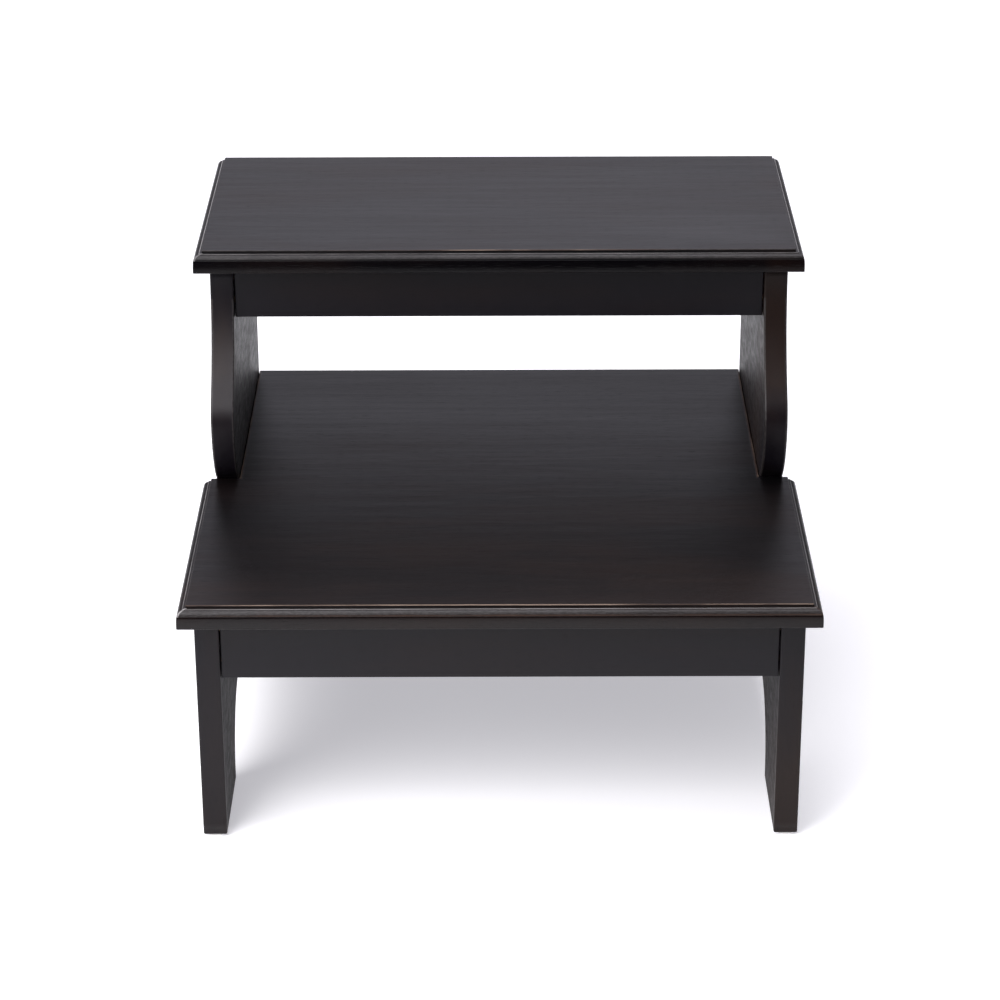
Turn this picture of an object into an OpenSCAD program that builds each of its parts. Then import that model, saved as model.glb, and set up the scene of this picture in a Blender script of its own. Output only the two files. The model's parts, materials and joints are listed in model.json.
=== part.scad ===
// Two-step wooden bed stool: two moulded treads carried by a pair of shaped side boards.
// Millimetres. +Z is up, +X is the stool's right seen from the front, and the front faces -Y.
// The origin is on the floor, under the middle of the stool.

/* [Overall] */
// Width of both treads
tread_w = 481.5; // [420:0.5:560]
// Depth of the stool, from the lower tread's front edge to the upper tread's back edge
stool_d = 477; // [460:1:520]
// Height of the upper tread's top above the floor
upper_h = 400; // [392:1:440]
// Height of the lower tread's top above the floor
lower_h = 205.5; // [190:0.5:215]

/* [Treads] */
// Thickness of both treads
tread_t = 17; // [15:0.5:20]
// Depth of the upper tread
upper_tread_d = 241.5; // [232:0.5:258]
// Depth of the lower tread's wide part, in front of the side boards' curves
lower_step_d = 239; // [228:0.5:246]
// How far both treads overhang the side boards' outer faces
side_overhang = 11; // [6:0.5:16]
// How far the lower tread overhangs the front feet
front_overhang = 18.5; // [12:0.5:24]
// How far the upper tread overhangs the back
back_overhang = 5; // [0:0.5:18]
// Gap between the lower tread and the side boards that it runs between
tread_gap = 0.4; // [0.2:0.1:1]

/* [Edge moulding] */
// How far the flat top stops short of the tread's edge
mould_inset = 6.8; // [5.5:0.1:9]
// Height of the small step down from the flat top
mould_step = 2.3; // [1:0.1:3]
// Radius of the quarter round below the step
mould_r = 3.9; // [2.5:0.1:4.5]
// Height of the small step at the top of the quarter round, and width of the lip below it
mould_lip = 0.6; // [0.3:0.1:0.8]

/* [Side boards] */
// Thickness of the side boards
side_t = 18.5; // [16:0.5:22]
// Length of each foot along the floor
foot_l = 88; // [70:1:110]
// Height of the arch between the feet
arch_h = 64; // [58:1:90]
// Radius of the arch's two corners
arch_r = 56; // [30:1:58]
// Radius of the hollow at the top of the front curve
hollow_r = 126; // [100:1:130]
// Angle from upright of the curve's steepest stretch
curve_angle = 37; // [30:1:38]
// Length of the straight run between the hollow and the bulge
curve_run = 20; // [5:1:22]
// Radius of the upper half of the bulge
bulge_top_r = 33; // [20:1:35]
// Radius of the lower half of the bulge
bulge_low_r = 67.5; // [60:0.5:80]
// Height of the bulge's nose above the lower tread
bulge_h = 54; // [45:1:56]

/* [Rails] */
// Thickness of all four rails
rail_t = 18; // [15:0.5:20]
// Height of the rails under the upper tread
upper_rail_h = 45.5; // [40:0.5:60]
// Height of the rails under the lower tread
lower_rail_h = 51.5; // [40:0.5:70]
// How far the rails sit back from the side boards' edges
rail_recess = 2.7; // [1:0.1:5]
// Fitting gap at each end of a rail
rail_gap = 0.2; // [0.1:0.1:0.5]

/* [Blocks and cleats] */
// Length of the two legs of a corner block
block_l = 42; // [38:1:50]
// Width of a corner block's two ends
block_end = 14; // [12:1:18]
// Height of the corner blocks
block_h = 26; // [24:1:30]
// Width of the cleats under the lower tread
cleat_w = 18; // [16:1:22]
// Height of the cleats under the lower tread
cleat_h = 20; // [18:1:26]

/* [Fixings] */
// Diameter of the dowels
dowel_d = 8; // [6:1:10]
// Diameter of the screws' plain shank
screw_d = 3.8; // [3:0.1:4.5]
// Diameter of the screws' countersunk head
screw_head_d = 7.6; // [6.5:0.1:9]
// How deep a screw goes into the second board
screw_bite = 12; // [8:0.5:13]

/* [Glides] */
// Diameter of the round glides under the feet
glide_d = 15.5; // [12:0.5:18]
// Thickness of the glides
glide_t = 2.4; // [1.8:0.1:5]

/* [Hidden] */

stain = [0.12, 0.11, 0.115];
stain_frame = [0.15, 0.125, 0.12];
beech = [0.76, 0.60, 0.42];
zinc = [0.72, 0.72, 0.70];
nylon = [0.86, 0.86, 0.84];
LEFT = -1;
RIGHT = 1;
SIDES = [LEFT, RIGHT];
round_fn = 48;
// Steps in a quarter turn of an outline's arcs
arc_steps = 12;

// Places along Y, from the front edge of the lower tread
front_y = -stool_d / 2;
back_y = stool_d / 2;
step_y = front_y + lower_step_d;
foot_y = front_y + front_overhang;
board_back_y = back_y - back_overhang;
upper_front_y = back_y - upper_tread_d;
// Places along X
board_out_x = tread_w / 2 - side_overhang;
board_in_x = board_out_x - side_t;
board_mid_x = (board_out_x + board_in_x) / 2;
// Heights
foot_z = glide_t;
shoulder_z = lower_h - tread_t;
board_top_z = upper_h - tread_t;
// The front curve: the nose of the bulge, and the upright edge above the curve
bulge_z = lower_h + bulge_h;
bulge_y = step_y + tread_gap - bulge_low_r + sqrt(pow(bulge_low_r, 2) - pow(bulge_h, 2));
straight_low = [bulge_y + bulge_top_r * (1 - cos(curve_angle)), bulge_z + bulge_top_r * sin(curve_angle)];
straight_high = straight_low + curve_run * [sin(curve_angle), cos(curve_angle)];
upright_y = straight_high[0] + hollow_r * (1 - cos(curve_angle));
upright_z = straight_high[1] + hollow_r * sin(curve_angle);
// Rails: the front face of each
lower_front_rail_y = foot_y + rail_recess;
upper_front_rail_y = upright_y + rail_recess;
back_rail_y = board_back_y - rail_recess - rail_t;
rail_l = 2 * (board_in_x - rail_gap);
// Dowels: length in each board, and extra depth of the holes
dowel_side = 11.5;
dowel_rail = 18.5;
dowel_tread = 10;
dowel_down = 20;
dowel_spare = 1;
fit_gap = 0.05;
// Rail dowels sit this far from the rail's edges
dowel_edge = 13;
// Screws: head height, tip length, bore clearance in the fixed-through board
head_t = 3;
tip_l = 4;
through_gap = 0.2;
// Corner blocks: screw places, wood left under the pocketed heads, pocket diameter
block_screw = 30;
block_tread_screw = 12;
pocket_floor = 10;
pocket_d = screw_head_d + 1.6;
rail_screw_drop = 8;
side_screw_drop = 18;
// Cleats run between the lower corner blocks
cleat_clear = 3;
cleat_front_y = lower_front_rail_y + rail_t + block_l + cleat_clear;
cleat_back_y = back_rail_y - block_l - cleat_clear;
cleat_l = cleat_back_y - cleat_front_y;
cleat_x = board_in_x - cleat_w / 2;
// Glides and nails
glide_edge = 1;
glide_round = 0.8;
nail_d = 1.8;
nail_head_d = 5;
nail_head_t = 0.8;
nail_l = 15;
nail_recess = 0.6;
// Overlap that makes a cut run clean through a face
cut = 1;

// Points on an arc about [centre], radius r, from angle a0 to a1, both ends included
function arc(centre, r, a0, a1, steps = arc_steps) =
    [for (i = [0 : steps]) centre + r * [cos(a0 + (a1 - a0) * i / steps), sin(a0 + (a1 - a0) * i / steps)]];

// The moulded edge as [distance in from the edge, distance down from the top]
function edge_profile() = concat(
    [[mould_inset, 0], [mould_inset, mould_step], [mould_lip + mould_r, mould_step]],
    arc([mould_lip + mould_r, mould_step + mould_lip + mould_r], mould_r, 270, 180, 8),
    [[0, mould_step + mould_lip + mould_r], [0, tread_t - 0.8], [0.8, tread_t]]);

// A board with the moulding on its front and both sides and a square-cut back
module moulded_board(y0, y1, top_z) {
    edge = edge_profile();
    left = [for (p = edge) [-tread_w / 2 + p[0], top_z - p[1]]];
    right = [for (i = [len(edge) - 1 : -1 : 0]) [tread_w / 2 - edge[i][0], top_z - edge[i][1]]];
    front = [for (p = edge) [y0 + p[0], top_z - p[1]]];
    intersection() {
        translate([0, y1, 0])
            rotate([90, 0, 0])
                linear_extrude(y1 - y0)
                    polygon(concat(left, right));
        translate([-tread_w / 2 - cut, 0, 0])
            rotate([90, 0, 90])
                linear_extrude(tread_w + 2 * cut)
                    polygon(concat(front, [[y1, top_z - tread_t], [y1, top_z]]));
    }
}

// Outline of a side board as [y, z]
function side_outline() = concat(
    [[foot_y, foot_z], [foot_y, shoulder_z], [step_y + tread_gap, shoulder_z]],
    arc([bulge_y + bulge_low_r, bulge_z], bulge_low_r, 180 + asin(bulge_h / bulge_low_r), 180),
    [for (i = [1 : arc_steps])
        [bulge_y + bulge_top_r, bulge_z]
            + bulge_top_r * [-cos(curve_angle * i / arc_steps), sin(curve_angle * i / arc_steps)]],
    arc([upright_y - hollow_r, upright_z], hollow_r, -curve_angle, 0),
    [[upright_y, board_top_z], [board_back_y, board_top_z],
        [board_back_y, foot_z], [board_back_y - foot_l, foot_z]],
    arc([board_back_y - foot_l - arch_r, foot_z + arch_h - arch_r], arch_r, 0, 90),
    arc([foot_y + foot_l + arch_r, foot_z + arch_h - arch_r], arch_r, 90, 180),
    [[foot_y + foot_l, foot_z]]);

// A dowel or its hole on the Z axis, reaching `below` and `above` the joint at z = 0
module dowel(below, above, hole = false) {
    r = dowel_d / 2 + (hole ? fit_gap : 0);
    low = -below - (hole ? dowel_spare : 0);
    high = above + (hole ? dowel_spare : 0);
    ease = hole ? 0 : 1;
    rotate_extrude($fn = round_fn)
        polygon([[0, low], [r - ease, low], [r, low + ease], [r, high - ease], [r - ease, high], [0, high]]);
}

// A countersunk wood screw pointing along +Z, its head flush with z = 0
module screw(length) {
    difference() {
        rotate_extrude($fn = round_fn)
            polygon([[0, 0], [screw_head_d / 2, 0], [screw_head_d / 2, 0.4], [screw_d / 2, head_t],
                [screw_d / 2, length - tip_l], [0, length]]);
        for (a = [0, 90])
            rotate([0, 0, a])
                translate([-2.2, -0.45, -cut])
                    cube([4.4, 0.9, cut + 1.6]);
    }
}

// The countersunk clearance hole for a screw, along +Z from z = 0, and `deep` long
module screw_hole(deep) {
    rotate_extrude($fn = round_fn)
        polygon([[0, -cut], [screw_head_d / 2 + through_gap, -cut],
            [screw_head_d / 2 + through_gap, 0.4], [screw_d / 2 + through_gap, head_t],
            [screw_d / 2 + through_gap, deep + cut], [0, deep + cut]]);
}

// The pilot hole in the second board, along +Z from z = 0 on its face
module pilot() {
    translate([0, 0, -cut])
        cylinder(r = screw_d / 2 + fit_gap, h = cut + screw_bite + 1, $fn = round_fn);
}

// Holds children, drawn in a block's own corner frame, against a rail and a side board:
// x runs in from the side board, y runs away from the rail, and z = 0 is under the tread
module at_block(side, rail_face_y, back, top_z) {
    translate([side * board_in_x, rail_face_y, top_z])
        mirror_if(side == RIGHT, [1, 0, 0])
            mirror_if(back, [0, 1, 0])
                children();
}

module mirror_if(on, direction) {
    if (on) {
        mirror(direction)
            children();
    } else {
        children();
    }
}

module at_upper_block(side, back) {
    at_block(side, back ? back_rail_y : upper_front_rail_y + rail_t, back, board_top_z)
        children();
}

module at_lower_block(side, back) {
    at_block(side, back ? back_rail_y : lower_front_rail_y + rail_t, back, shoulder_z)
        children();
}

// Turns +Z onto the block's three screw directions, from each screw's head
module at_rail_screw() {
    translate([block_screw, pocket_floor, -rail_screw_drop])
        rotate([90, 0, 0])
            children();
}

module at_side_screw() {
    translate([pocket_floor, block_screw, -side_screw_drop])
        rotate([0, -90, 0])
            children();
}

module at_tread_screw() {
    translate([block_tread_screw, block_tread_screw, -block_h])
        children();
}

// A corner block with two pocketed holes for the frame screws and one for the tread screw
module corner_block() {
    difference() {
        translate([0, 0, -block_h])
            linear_extrude(block_h)
                polygon([[0, 0], [block_l, 0], [block_l, block_end], [block_end, block_l], [0, block_l]]);
        at_rail_screw()
            pocketed_hole();
        at_side_screw()
            pocketed_hole();
        at_tread_screw()
            screw_hole(block_h);
    }
}

module pocketed_hole() {
    screw_hole(pocket_floor);
    translate([0, 0, -block_l])
        cylinder(d = pocket_d, h = block_l, $fn = round_fn);
}

module block_frame_screws() {
    at_rail_screw()
        screw(pocket_floor + screw_bite);
    at_side_screw()
        screw(pocket_floor + screw_bite);
}

module block_frame_pilots() {
    at_rail_screw()
        translate([0, 0, pocket_floor])
            pilot();
    at_side_screw()
        translate([0, 0, pocket_floor])
            pilot();
}

module block_tread_pilot() {
    at_tread_screw()
        translate([0, 0, block_h])
            pilot();
}

// The two dowels at each end of a rail, for one side or both
module rail_dowels(rail_y, top_z, rail_h, sides = SIDES, hole = false) {
    for (side = sides, z = [top_z - dowel_edge, top_z - rail_h + dowel_edge])
        translate([side * board_in_x, rail_y + rail_t / 2, z])
            rotate([0, -90 * side, 0])
                dowel(dowel_side, dowel_rail, hole);
}

module upper_rail_dowels(rail_y, sides = SIDES, hole = false) {
    rail_dowels(rail_y, board_top_z, upper_rail_h, sides, hole);
}

module lower_rail_dowels(rail_y, sides = SIDES, hole = false) {
    rail_dowels(rail_y, shoulder_z, lower_rail_h, sides, hole);
}

// Upright dowels between the side boards' top edges and the two treads
module upper_dowels(sides = SIDES, hole = false) {
    span = board_back_y - upright_y;
    for (side = sides, share = [0.36, 0.64])
        translate([side * board_mid_x, upright_y + share * span, board_top_z])
            dowel(dowel_down, dowel_tread, hole);
}

module lower_dowels(sides = SIDES, hole = false) {
    span = step_y - foot_y;
    for (side = sides, share = [0.34, 0.74])
        translate([side * board_mid_x, foot_y + share * span, shoulder_z])
            dowel(dowel_down, dowel_tread, hole);
}

// Screws through the cleats, or their holes: sideways into the board, and up into the tread
module at_cleat_side_screws(sides = SIDES) {
    for (side = sides, share = [0.1, 0.5, 0.9])
        translate([side * (board_in_x - cleat_w), cleat_front_y + share * cleat_l, shoulder_z - cleat_h / 2])
            rotate([0, 90 * side, 0])
                children();
}

module at_cleat_tread_screws(sides = SIDES) {
    for (side = sides, share = [0.3, 0.7])
        translate([side * cleat_x, cleat_front_y + share * cleat_l, shoulder_z - cleat_h])
            children();
}

module at_glide(side, back) {
    inset = glide_edge + glide_d / 2;
    translate([side * board_mid_x, back ? board_back_y - inset : foot_y + inset, 0])
        children();
}

module nail(hole = false) {
    r = nail_d / 2 + (hole ? fit_gap : 0);
    if (hole) {
        cylinder(r = r, h = nail_l + cut, $fn = round_fn);
    } else {
        rotate_extrude($fn = round_fn)
            polygon([[0, nail_recess], [nail_head_d / 2 - 0.2, nail_recess],
                [nail_head_d / 2, nail_recess + 0.2], [nail_head_d / 2, nail_recess + nail_head_t],
                [r, nail_recess + nail_head_t], [r, nail_l - 2], [0, nail_l]]);
    }
}

module glide() {
    r = glide_d / 2;
    seat_r = nail_head_d / 2 + 0.3;
    seat_z = nail_recess + nail_head_t;
    rotate_extrude($fn = round_fn)
        polygon(concat(
            [[nail_d / 2 + fit_gap, glide_t], [nail_d / 2 + fit_gap, seat_z], [seat_r, seat_z], [seat_r, 0]],
            arc([r - glide_round, glide_round], glide_round, -90, 0, 6),
            [[r, glide_t]]));
}

module side_board(side) {
    difference() {
        translate([side * board_mid_x - side_t / 2, 0, 0])
            rotate([90, 0, 90])
                linear_extrude(side_t)
                    polygon(side_outline());
        upper_rail_dowels(upper_front_rail_y, [side], true);
        upper_rail_dowels(back_rail_y, [side], true);
        lower_rail_dowels(lower_front_rail_y, [side], true);
        lower_rail_dowels(back_rail_y, [side], true);
        upper_dowels([side], true);
        lower_dowels([side], true);
        for (back = [false, true]) {
            at_upper_block(side, back)
                block_frame_pilots();
            at_lower_block(side, back)
                block_frame_pilots();
            at_glide(side, back)
                nail(true);
        }
        at_cleat_side_screws([side])
            translate([0, 0, cleat_w])
                pilot();
    }
}

module rail(rail_y, top_z, rail_h) {
    translate([-rail_l / 2, rail_y, top_z - rail_h])
        cube([rail_l, rail_t, rail_h]);
}

module cleat(side) {
    difference() {
        translate([side * cleat_x - cleat_w / 2, cleat_front_y, shoulder_z - cleat_h])
            cube([cleat_w, cleat_l, cleat_h]);
        at_cleat_side_screws([side])
            screw_hole(cleat_w);
        at_cleat_tread_screws([side])
            screw_hole(cleat_h);
    }
}

module upper_tread() {
    color(stain)
        difference() {
            moulded_board(upper_front_y, back_y, upper_h);
            upper_dowels(hole = true);
            for (side = SIDES, back = [false, true])
                at_upper_block(side, back)
                    block_tread_pilot();
        }
}

module lower_tread() {
    tongue_w = 2 * (board_in_x - tread_gap);
    color(stain)
        difference() {
            union() {
                moulded_board(front_y, step_y, lower_h);
                translate([-tongue_w / 2, step_y - mould_inset, shoulder_z])
                    cube([tongue_w, board_back_y - step_y + mould_inset, tread_t]);
            }
            lower_dowels(hole = true);
            for (side = SIDES, back = [false, true])
                at_lower_block(side, back)
                    block_tread_pilot();
            at_cleat_tread_screws()
                translate([0, 0, cleat_h])
                    pilot();
        }
}

module left_side_board() {
    color(stain_frame)
        side_board(LEFT);
}

module right_side_board() {
    color(stain_frame)
        side_board(RIGHT);
}

module upper_front_rail() {
    color(stain_frame)
        difference() {
            rail(upper_front_rail_y, board_top_z, upper_rail_h);
            upper_rail_dowels(upper_front_rail_y, hole = true);
            for (side = SIDES)
                at_upper_block(side, false)
                    block_frame_pilots();
        }
}

module upper_back_rail() {
    color(stain_frame)
        difference() {
            rail(back_rail_y, board_top_z, upper_rail_h);
            upper_rail_dowels(back_rail_y, hole = true);
            for (side = SIDES)
                at_upper_block(side, true)
                    block_frame_pilots();
        }
}

module lower_front_rail() {
    color(stain_frame)
        difference() {
            rail(lower_front_rail_y, shoulder_z, lower_rail_h);
            lower_rail_dowels(lower_front_rail_y, hole = true);
            for (side = SIDES)
                at_lower_block(side, false)
                    block_frame_pilots();
        }
}

module lower_back_rail() {
    color(stain_frame)
        difference() {
            rail(back_rail_y, shoulder_z, lower_rail_h);
            lower_rail_dowels(back_rail_y, hole = true);
            for (side = SIDES)
                at_lower_block(side, true)
                    block_frame_pilots();
        }
}

module left_tread_cleat() {
    color(stain_frame)
        cleat(LEFT);
}

module right_tread_cleat() {
    color(stain_frame)
        cleat(RIGHT);
}

module upper_block(side, back) {
    color(stain_frame)
        at_upper_block(side, back)
            corner_block();
}

module lower_block(side, back) {
    color(stain_frame)
        at_lower_block(side, back)
            corner_block();
}

module upper_front_rail_dowels() {
    color(beech)
        upper_rail_dowels(upper_front_rail_y);
}

module upper_back_rail_dowels() {
    color(beech)
        upper_rail_dowels(back_rail_y);
}

module lower_front_rail_dowels() {
    color(beech)
        lower_rail_dowels(lower_front_rail_y);
}

module lower_back_rail_dowels() {
    color(beech)
        lower_rail_dowels(back_rail_y);
}

module upper_tread_dowels() {
    color(beech)
        upper_dowels();
}

module lower_tread_dowels() {
    color(beech)
        lower_dowels();
}

module upper_block_frame_screws() {
    color(zinc)
        for (side = SIDES, back = [false, true])
            at_upper_block(side, back)
                block_frame_screws();
}

module upper_block_tread_screws() {
    color(zinc)
        for (side = SIDES, back = [false, true])
            at_upper_block(side, back)
                at_tread_screw()
                    screw(block_h + screw_bite);
}

module lower_block_frame_screws() {
    color(zinc)
        for (side = SIDES, back = [false, true])
            at_lower_block(side, back)
                block_frame_screws();
}

module lower_block_tread_screws() {
    color(zinc)
        for (side = SIDES, back = [false, true])
            at_lower_block(side, back)
                at_tread_screw()
                    screw(block_h + screw_bite);
}

module cleat_side_screws() {
    color(zinc)
        at_cleat_side_screws()
            screw(cleat_w + screw_bite);
}

module cleat_tread_screws() {
    color(zinc)
        at_cleat_tread_screws()
            screw(cleat_h + screw_bite);
}

module foot_glide(side, back) {
    color(nylon)
        at_glide(side, back)
            glide();
}

module glide_nails() {
    color(zinc)
        for (side = SIDES, back = [false, true])
            at_glide(side, back)
                nail();
}

upper_tread();
lower_tread();
left_side_board();
right_side_board();
upper_front_rail();
upper_back_rail();
lower_front_rail();
lower_back_rail();
left_tread_cleat();
right_tread_cleat();
upper_block(LEFT, false);  // upper_front_left_block
upper_block(RIGHT, false);  // upper_front_right_block
upper_block(LEFT, true);  // upper_back_left_block
upper_block(RIGHT, true);  // upper_back_right_block
lower_block(LEFT, false);  // lower_front_left_block
lower_block(RIGHT, false);  // lower_front_right_block
lower_block(LEFT, true);  // lower_back_left_block
lower_block(RIGHT, true);  // lower_back_right_block
upper_front_rail_dowels();
upper_back_rail_dowels();
lower_front_rail_dowels();
lower_back_rail_dowels();
upper_tread_dowels();
lower_tread_dowels();
upper_block_frame_screws();
upper_block_tread_screws();
lower_block_frame_screws();
lower_block_tread_screws();
cleat_side_screws();
cleat_tread_screws();
foot_glide(LEFT, false);  // front_left_glide
foot_glide(RIGHT, false);  // front_right_glide
foot_glide(LEFT, true);  // back_left_glide
foot_glide(RIGHT, true);  // back_right_glide
glide_nails();
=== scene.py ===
"""A dark-stained two-step wooden bed stool, seen from the front and a little above."""

import json
import math

import bpy
import numpy as np
from mathutils import Matrix, Vector, noise


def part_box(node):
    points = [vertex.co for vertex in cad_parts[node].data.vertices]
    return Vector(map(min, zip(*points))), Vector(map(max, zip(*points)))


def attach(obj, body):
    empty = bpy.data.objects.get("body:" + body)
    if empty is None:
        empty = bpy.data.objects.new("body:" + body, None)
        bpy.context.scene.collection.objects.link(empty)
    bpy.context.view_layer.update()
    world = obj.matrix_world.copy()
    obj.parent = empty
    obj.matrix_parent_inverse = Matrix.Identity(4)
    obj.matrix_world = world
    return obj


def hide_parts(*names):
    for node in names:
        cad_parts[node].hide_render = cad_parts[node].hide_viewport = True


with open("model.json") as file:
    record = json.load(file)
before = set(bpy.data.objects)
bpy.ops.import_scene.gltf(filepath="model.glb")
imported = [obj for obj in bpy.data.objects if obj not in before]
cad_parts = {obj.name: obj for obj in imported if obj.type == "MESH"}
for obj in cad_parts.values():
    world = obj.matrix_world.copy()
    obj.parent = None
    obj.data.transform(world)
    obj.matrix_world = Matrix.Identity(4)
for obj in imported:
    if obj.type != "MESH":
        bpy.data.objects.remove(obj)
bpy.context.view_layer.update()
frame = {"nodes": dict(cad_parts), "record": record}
MM = 0.001
# Without a seed, Blender's vector noise takes its offsets from the clock, and no two runs are the same
noise.seed_set(3)


# ---------------------------------------------------------------- places, from the frame

LOWER_LO, LOWER_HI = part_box("lower_tread")
UPPER_LO, UPPER_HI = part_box("upper_tread")
LEFT_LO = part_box("left_side_board")[0]
RIGHT_LO, RIGHT_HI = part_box("right_side_board")
HALF_W = UPPER_HI.x
TREAD_T = UPPER_HI.z - UPPER_LO.z
BOARD_IN_X = RIGHT_LO.x
BOARD_T = RIGHT_HI.x - RIGHT_LO.x
BOARD_TOP = RIGHT_HI.z
BOARD_BACK = RIGHT_HI.y
FOOT_Y = RIGHT_LO.y
FOOT_Z = RIGHT_LO.z
SHOULDER_Z = LOWER_LO.z
LOWER_Z = LOWER_HI.z
# The gap between the lower tread and the side boards, and how far back its full width runs
TREAD_GAP = 0.4 * MM
SHOULDER_DEPTH = 239 * MM
STEP_Y = LOWER_LO.y + SHOULDER_DEPTH

# The moulded edge: flat top's inset, step down, quarter round, and the small step above and below it
MOULD_INSET = 6.8 * MM
MOULD_STEP = 2.3 * MM
MOULD_R = 3.9 * MM
MOULD_LIP = 0.6 * MM
# The upright face below the quarter round leans back a little at its top, as (inset, drop) in mm
FACE_ROUNDING = [(0.40, 0.0), (0.26, 1.0), (0.13, 2.3), (0.04, 4.3), (0.0, 6.3)]
# The arris under a tread, and the bands of flat top and underside that belong to its edge
UNDER_R = 0.7 * MM
TOP_RIM = 2.2 * MM
UNDER_RIM = 3 * MM
# Side board: its feet, the arch between them, and the front curve, from its top end down
FOOT_L = 88 * MM
ARCH_H = 64 * MM
ARCH_R = 56 * MM
HOLLOW_R = 126 * MM
CURVE_ANGLE = math.radians(37)
CURVE_RUN = 20 * MM
BULGE_TOP_R = 33 * MM
BULGE_LOW_R = 67.5 * MM
BULGE_H = 54 * MM


# ---------------------------------------------------------------- camera, light and floor


def make_camera():
    """A long lens in front of the stool, looking down on it by about 24 degrees."""
    data = bpy.data.cameras.new("camera")
    data.sensor_width = 36
    data.lens = 111.0
    camera = bpy.data.objects.new("camera", data)
    place = (0.0004, -2.2851, 1.2259)
    pitch, roll = math.radians(24.48), math.radians(-0.17)
    turn = Matrix.Rotation(math.pi / 2 - pitch, 4, "X") @ Matrix.Rotation(roll, 4, "Z")
    camera.matrix_world = Matrix.Translation(place) @ turn
    bpy.context.scene.collection.objects.link(camera)
    bpy.context.scene.camera = camera


def area_light(name, place, target, side, power, colour):
    """A square softbox that faces the target, and that the camera doesn't see."""
    data = bpy.data.lights.new(name, "AREA")
    data.shape = "SQUARE"
    data.size = side
    data.energy = power
    data.color = colour
    light = bpy.data.objects.new(name, data)
    light.location = place
    light.rotation_euler = (Vector(target) - Vector(place)).to_track_quat("-Z", "Y").to_euler()
    light.visible_camera = False
    bpy.context.scene.collection.objects.link(light)


KEY_TINT = (1.0, 0.985, 1.02)
TOP_TINT = (1.0, 0.99, 1.04)
BACK_TINT = (1.02, 0.99, 1.13)
LIT_POINT = (0, 0, 0.2)
# Each softbox's name, place, side, power and colour
SOFTBOXES = [
    ("key", (-0.836, -0.836, 1.124), 1.15, 31.0, KEY_TINT),
    ("front_fill", (-0.60, -1.28, 1.61), 1.0, 4.1, KEY_TINT),
    ("top", (0, 0, 2.6), 1.6, 48.0, TOP_TINT),
    ("top_behind", (0, 1.2, 2.28), 1.4, 6.0, BACK_TINT),
    ("behind", (0, 2.15, 1.65), 1.6, 7.8, BACK_TINT),
]


def make_studio():
    """A key softbox in front on the left, softer light from above and behind, and a dim room."""
    bpy.context.scene.view_settings.view_transform = "Standard"
    make_room()
    for name, place, side, power, tint in SOFTBOXES:
        area_light(name, place, LIT_POINT, side, power, tint)


# The room's brightness at the horizon and overhead, and the elevations in degrees between which it changes
ROOM_LOW, ROOM_HIGH = 1.02, 0.16
ROOM_LOW_ANGLE, ROOM_HIGH_ANGLE = 2, 9


def make_room():
    """The room is dim overhead and pale down at the floor's far edge."""
    world = bpy.data.worlds.new("studio")
    world.use_nodes = True
    tree = world.node_tree
    background = tree.nodes["Background"]
    source = tree.nodes.new("ShaderNodeTexCoord")
    split = tree.nodes.new("ShaderNodeSeparateXYZ")
    fade = tree.nodes.new("ShaderNodeMapRange")
    fade.interpolation_type = "SMOOTHSTEP"
    fade.inputs["From Min"].default_value = math.sin(math.radians(ROOM_LOW_ANGLE))
    fade.inputs["From Max"].default_value = math.sin(math.radians(ROOM_HIGH_ANGLE))
    fade.inputs["To Min"].default_value = ROOM_LOW
    fade.inputs["To Max"].default_value = ROOM_HIGH
    tree.links.new(source.outputs["Generated"], split.inputs["Vector"])
    tree.links.new(split.outputs["Z"], fade.inputs["Value"])
    tree.links.new(fade.outputs["Result"], background.inputs["Strength"])
    background.inputs["Color"].default_value = (1.0, 0.985, 1.06, 1)
    bpy.context.scene.world = world


STAGE_HALF = 6.0
# The floor's own glow, near the stool and far from it, and the distances between which it changes
GLOW_NEAR, GLOW_FAR = 0.44, 0.95
GLOW_NEAR_R, GLOW_FAR_R = 1.5, 3.5


def make_floor():
    """A white table top that glows softly, so that the shadows on it stay pale, most of all far away."""
    half = STAGE_HALF
    mesh = bpy.data.meshes.new("floor")
    corners = [(-half, -half, 0), (half, -half, 0), (half, half, 0), (-half, half, 0)]
    mesh.from_pydata(corners, [], [(0, 1, 2, 3)])
    floor = bpy.data.objects.new("floor", mesh)
    bpy.context.scene.collection.objects.link(floor)
    n = Nodes("floor_white")
    distance = n.add("ShaderNodeVectorMath", operation="LENGTH")
    n.tree.links.new(n.coords((1, 1, 1)), distance.inputs["Vector"])
    glow = n.remap(distance.outputs["Value"], GLOW_NEAR_R, GLOW_FAR_R, GLOW_NEAR, GLOW_FAR, True)
    n.set("Base Color", (0.80, 0.80, 0.79, 1))
    n.set("Roughness", 1.0)
    n.set("Specular IOR Level", 0.0)
    n.set("Emission Color", (1.0, 0.99, 1.055, 1))
    n.set("Emission Strength", glow)
    mesh.materials.append(n.mat)


# The dark card's ends and its top, and its two steps of darkness: where each starts and ends, and how dark
CARD_NEAR, CARD_FAR, CARD_TOP = -0.62, -3.0, 1.9
CARD_DUSK = (CARD_NEAR, -0.86, 0.30)
CARD_DARK = (-0.97, -1.09, 0.70)


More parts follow.
